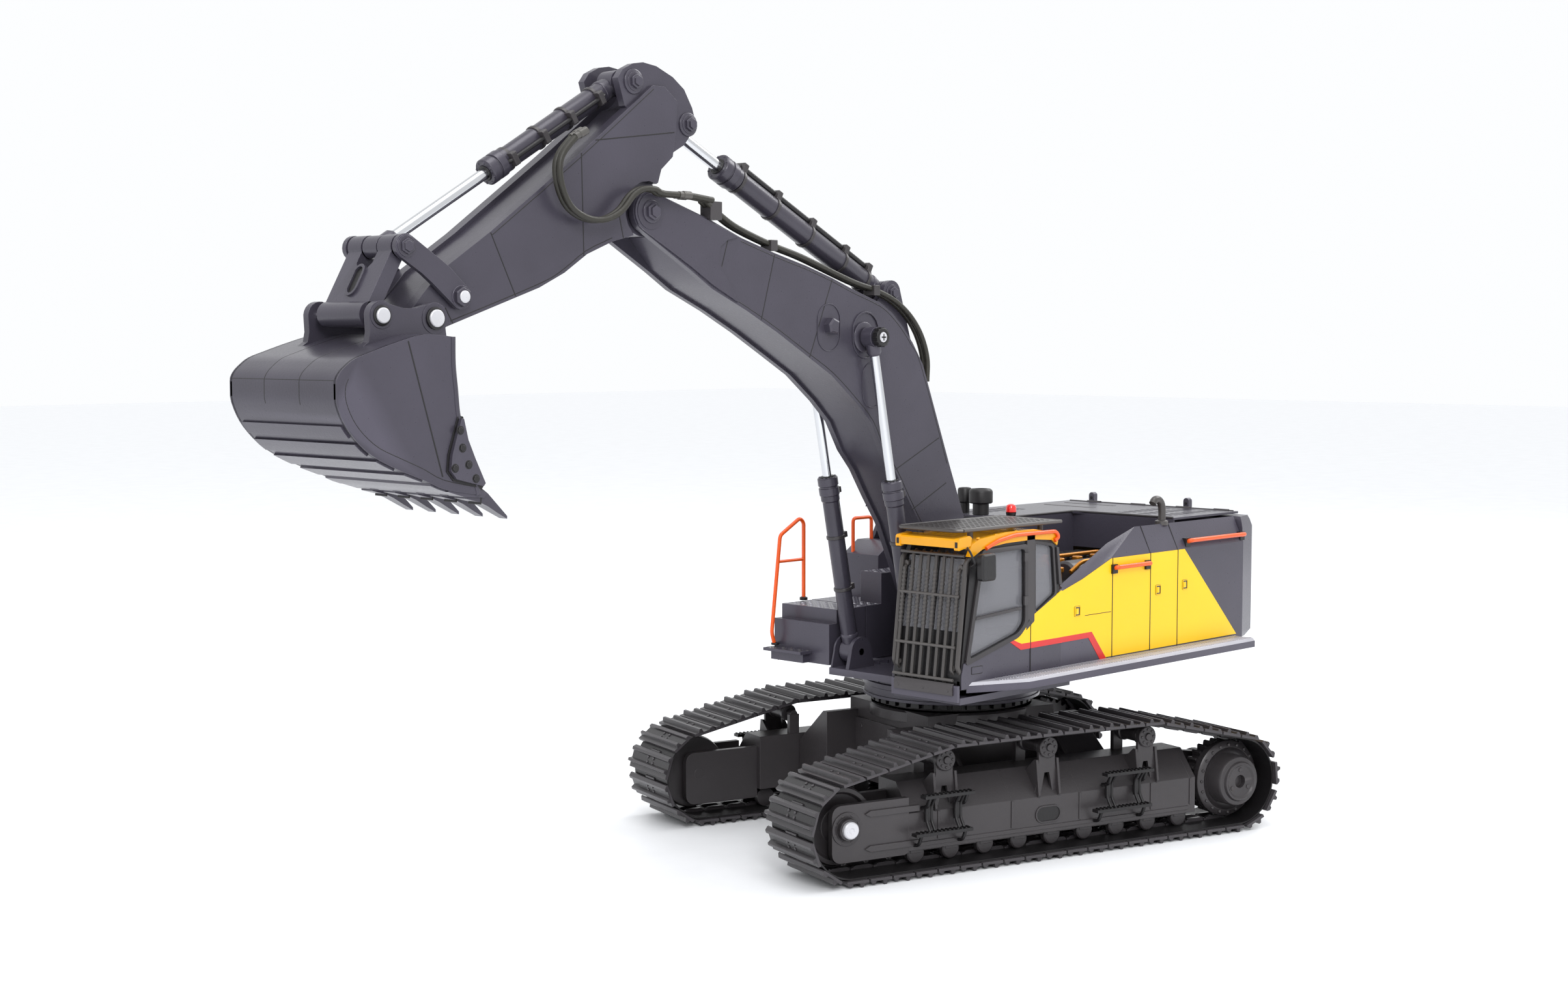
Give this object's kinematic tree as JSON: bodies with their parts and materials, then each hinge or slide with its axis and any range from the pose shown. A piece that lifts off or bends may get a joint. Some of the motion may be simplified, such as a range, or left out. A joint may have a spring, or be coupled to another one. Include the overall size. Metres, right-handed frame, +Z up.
{
  "type": "toy crawler excavator",
  "caption": "Scale-model crawler excavator with a slewing cab body, a jointed digging arm on hydraulic cylinders and two driven tracks.",
  "frame": {"origin": "middle of the bottom of the overall box, on the ground under the tracks", "axes": "+X forward, towards the bucket; +Y to the left, the cab's side; +Z up"},
  "size_m": [0.603, 0.2674, 0.382],
  "materials": {
    "slate_paint": "satin",
    "dark_paint": "satin",
    "black_paint": "matt",
    "track_shoes": "satin",
    "yellow_paint": "gloss",
    "orange_paint": "gloss",
    "chrome": "polished",
    "bright_steel": "satin",
    "cab_glass": "tinted",
    "amber_plastic": "gloss",
    "red_lens": "gloss",
    "tread_plate": "satin",
    "hose_rubber": "matt",
    "inner_plastic": "satin"
  },
  "bodies": {
    "undercarriage": {"carbody": "dark_paint", "turntable_ring": "black_paint", "track_frame_left": "dark_paint", "bottom_rollers_left": "dark_paint", "track_left": "track_shoes", "track_frame_right": "dark_paint", "bottom_rollers_right": "dark_paint", "track_right": "track_shoes"},
    "sprocket_left": {"sprocket_left": "dark_paint"},
    "idler_left": {"idler_left": "dark_paint"},
    "top_roller_left_1": {"top_roller_left_1": "dark_paint"},
    "top_roller_left_2": {"top_roller_left_2": "dark_paint"},
    "top_roller_left_3": {"top_roller_left_3": "dark_paint"},
    "sprocket_right": {"sprocket_right": "dark_paint"},
    "idler_right": {"idler_right": "dark_paint"},
    "top_roller_right_1": {"top_roller_right_1": "dark_paint"},
    "top_roller_right_2": {"top_roller_right_2": "dark_paint"},
    "top_roller_right_3": {"top_roller_right_3": "dark_paint"},
    "upper": {"slew_drum": "dark_paint", "roof_guard": "dark_paint", "front_grille": "dark_paint", "cab_mirror": "dark_paint", "upper_frame": "slate_paint", "cab_shell": "slate_paint", "engine_hood": "slate_paint", "counterweight": "slate_paint", "step_box": "slate_paint", "tool_box": "slate_paint", "cab_windows": "cab_glass", "visor": "amber_plastic", "left_cover": "yellow_paint", "right_cover": "yellow_paint", "catwalk_left": "tread_plate", "catwalk_right": "tread_plate", "front_handrail": "orange_paint", "exhausts": "bright_steel", "engine_block": "inner_plastic", "beacon": "red_lens"},
    "boom": {"boom": "slate_paint", "boom_cylinder_pin": "bright_steel", "stick_pivot_pin": "bright_steel", "boom_hose": "hose_rubber"},
    "stick": {"stick": "slate_paint", "bucket_pin": "bright_steel", "loop_hose_inner": "hose_rubber", "loop_hose_outer": "hose_rubber"},
    "bucket": {"bucket": "slate_paint", "link_bucket_pin": "bright_steel"},
    "rocker": {"rocker_left": "slate_paint", "rocker_right": "slate_paint", "link_pin": "bright_steel"},
    "h_link": {"h_link": "slate_paint"},
    "boom_rod_left": {"boom_rod_left": "chrome"},
    "boom_barrel_left": {"boom_barrel_left": "slate_paint"},
    "boom_rod_right": {"boom_rod_right": "chrome"},
    "boom_barrel_right": {"boom_barrel_right": "slate_paint"},
    "stick_barrel": {"stick_barrel": "slate_paint"},
    "stick_rod": {"stick_rod": "chrome"},
    "bucket_rod": {"bucket_rod": "chrome"},
    "bucket_barrel": {"bucket_barrel": "slate_paint"}
  },
  "joints": [
    {"name": "slew", "type": "hinge", "parent": "undercarriage", "child": "upper", "pos_m": [-0.1115, 0, 0.079], "axis": [0, 0, 1], "continuous": true},
    {"name": "sprocket_left_spin", "type": "hinge", "parent": "undercarriage", "child": "sprocket_left", "pos_m": [-0.20274, 0.11355, 0.0265], "axis": [0.2756, 0.9613, 0], "continuous": true},
    {"name": "idler_left_spin", "type": "hinge", "parent": "undercarriage", "child": "idler_left", "pos_m": [0.02378, 0.04006, 0.0265], "axis": [0.2756, 0.9613, 0], "continuous": true},
    {"name": "top_roller_left_1_spin", "type": "hinge", "parent": "undercarriage", "child": "top_roller_left_1", "pos_m": [-0.03123, 0.055, 0.0542], "axis": [0.2756, 0.9613, 0], "continuous": true},
    {"name": "top_roller_left_2_spin", "type": "hinge", "parent": "undercarriage", "child": "top_roller_left_2", "pos_m": [-0.09083, 0.0721, 0.0546], "axis": [0.2756, 0.9613, 0], "continuous": true},
    {"name": "top_roller_left_3_spin", "type": "hinge", "parent": "undercarriage", "child": "top_roller_left_3", "pos_m": [-0.15139, 0.08946, 0.0542], "axis": [0.2756, 0.9613, 0], "continuous": true},
    {"name": "sprocket_right_spin", "type": "hinge", "parent": "undercarriage", "child": "sprocket_right", "pos_m": [-0.24904, -0.04795, 0.0265], "axis": [0.2756, 0.9613, 0], "continuous": true},
    {"name": "idler_right_spin", "type": "hinge", "parent": "undercarriage", "child": "idler_right", "pos_m": [-0.018, -0.10566, 0.0265], "axis": [0.2756, 0.9613, 0], "continuous": true},
    {"name": "top_roller_right_1_spin", "type": "hinge", "parent": "undercarriage", "child": "top_roller_right_1", "pos_m": [-0.07258, -0.08918, 0.0542], "axis": [0.2756, 0.9613, 0], "continuous": true},
    {"name": "top_roller_right_2_spin", "type": "hinge", "parent": "undercarriage", "child": "top_roller_right_2", "pos_m": [-0.13217, -0.0721, 0.0546], "axis": [0.2756, 0.9613, 0], "continuous": true},
    {"name": "top_roller_right_3_spin", "type": "hinge", "parent": "undercarriage", "child": "top_roller_right_3", "pos_m": [-0.19273, -0.05473, 0.0542], "axis": [0.2756, 0.9613, 0], "continuous": true},
    {"name": "boom_lift", "type": "hinge", "parent": "upper", "child": "boom", "pos_m": [-0.1075, 0, 0.106], "axis": [0, -1, 0], "range_deg": [-40, 8]},
    {"name": "stick_swing", "type": "hinge", "parent": "boom", "child": "stick", "pos_m": [0.1195, 0, 0.3158], "axis": [0, -1, 0], "range_deg": [-45, 20], "deforming": ["loop_hose_inner", "loop_hose_outer"]},
    {"name": "bucket_curl", "type": "hinge", "parent": "stick", "child": "bucket", "pos_m": [0.2435, 0, 0.2675], "axis": [0, -1, 0], "range_deg": [-30, 60]},
    {"name": "rocker_swing", "type": "hinge", "parent": "stick", "child": "rocker", "pos_m": [0.2265, 0, 0.2765], "axis": [0, -1, 0], "range_deg": [-22.53, 44.56]},
    {"name": "link_swing", "type": "hinge", "parent": "rocker", "child": "h_link", "pos_m": [0.254, 0, 0.2965], "axis": [0, -1, 0], "range_deg": [-19.99, 10.24]},
    {"name": "boom_rod_left_pivot", "type": "hinge", "parent": "boom", "child": "boom_rod_left", "pos_m": [-0.023, 0.022, 0.2598], "axis": [0, -1, 0], "range_deg": [-4.31, 1.1]},
    {"name": "boom_barrel_left_slide", "type": "slide", "parent": "boom_rod_left", "child": "boom_barrel_left", "axis": [-0.2038, 0, -0.979], "range_m": [-0.03312, 0.00702]},
    {"name": "boom_rod_right_pivot", "type": "hinge", "parent": "boom", "child": "boom_rod_right", "pos_m": [-0.023, -0.022, 0.2598], "axis": [0, -1, 0], "range_deg": [-4.31, 1.1]},
    {"name": "boom_barrel_right_slide", "type": "slide", "parent": "boom_rod_right", "child": "boom_barrel_right", "axis": [-0.2038, 0, -0.979], "range_m": [-0.03312, 0.00702]},
    {"name": "stick_barrel_pivot", "type": "hinge", "parent": "boom", "child": "stick_barrel", "pos_m": [-0.0515, 0, 0.282], "axis": [0, -1, 0], "range_deg": [-1.5, 0.83]},
    {"name": "stick_rod_slide", "type": "slide", "parent": "stick_barrel", "child": "stick_rod", "axis": [0.8969, 0, 0.4422], "range_m": [-0.01652, 0.03653]},
    {"name": "bucket_rod_pivot", "type": "hinge", "parent": "rocker", "child": "bucket_rod", "pos_m": [0.254, 0, 0.2965], "axis": [0, -1, 0], "range_deg": [-42.48, 21.49]},
    {"name": "bucket_barrel_slide", "type": "slide", "parent": "bucket_rod", "child": "bucket_barrel", "axis": [-0.8509, 0, 0.5254], "range_m": [-0.02506, 0.01278]}
  ],
  "couplings": [
    {"joint": "idler_left_spin", "follows": "sprocket_left_spin", "ratio": 1},
    {"joint": "top_roller_left_1_spin", "follows": "sprocket_left_spin", "ratio": 4},
    {"joint": "top_roller_left_2_spin", "follows": "sprocket_left_spin", "ratio": 4},
    {"joint": "top_roller_left_3_spin", "follows": "sprocket_left_spin", "ratio": 4},
    {"joint": "idler_right_spin", "follows": "sprocket_right_spin", "ratio": 1},
    {"joint": "top_roller_right_1_spin", "follows": "sprocket_right_spin", "ratio": 4},
    {"joint": "top_roller_right_2_spin", "follows": "sprocket_right_spin", "ratio": 4},
    {"joint": "top_roller_right_3_spin", "follows": "sprocket_right_spin", "ratio": 4},
    {"joint": "rocker_swing", "follows": "bucket_curl", "ratio": 0.7343},
    {"joint": "link_swing", "follows": "bucket_curl", "ratio": -0.3248},
    {"joint": "boom_rod_left_pivot", "follows": "boom_lift", "ratio": 0.1002},
    {"joint": "boom_barrel_left_slide", "follows": "boom_lift", "m_per_rad": 0.04672},
    {"joint": "boom_rod_right_pivot", "follows": "boom_lift", "ratio": 0.1002},
    {"joint": "boom_barrel_right_slide", "follows": "boom_lift", "m_per_rad": 0.04672},
    {"joint": "stick_barrel_pivot", "follows": "stick_swing", "ratio": 0.0267},
    {"joint": "stick_rod_slide", "follows": "stick_swing", "m_per_rad": -0.04588},
    {"joint": "bucket_rod_pivot", "follows": "bucket_curl", "ratio": -0.6997},
    {"joint": "bucket_barrel_slide", "follows": "bucket_curl", "m_per_rad": -0.02345}
  ]
}
